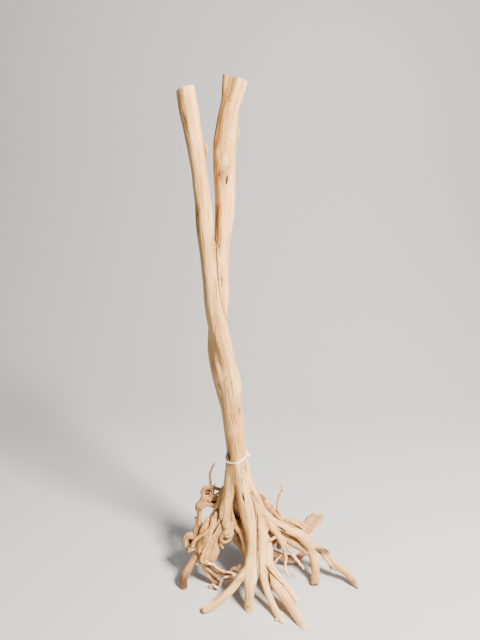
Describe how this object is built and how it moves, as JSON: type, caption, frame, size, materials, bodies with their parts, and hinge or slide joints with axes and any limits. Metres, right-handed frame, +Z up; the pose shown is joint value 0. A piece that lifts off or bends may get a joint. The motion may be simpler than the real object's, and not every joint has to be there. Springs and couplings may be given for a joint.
{
  "type": "dry root",
  "caption": "A peeled, dried root that stands upright on its spread roots, with cut stems and a white cable tie round its trunk.",
  "frame": {"origin": "on the surface that the root stands on, below the middle of its outer box seen from above", "axes": "+Z up along the stems, +X to the right and -Y to the front, as the picture shows the root"},
  "size_m": [0.3456, 0.2915, 0.9176],
  "materials": {
    "wood": "dry, peeled, matt",
    "nylon": "moulded, smooth"
  },
  "bodies": {
    "root": {"root_wood": "wood", "cable_tie": "nylon"}
  },
  "joints": []
}
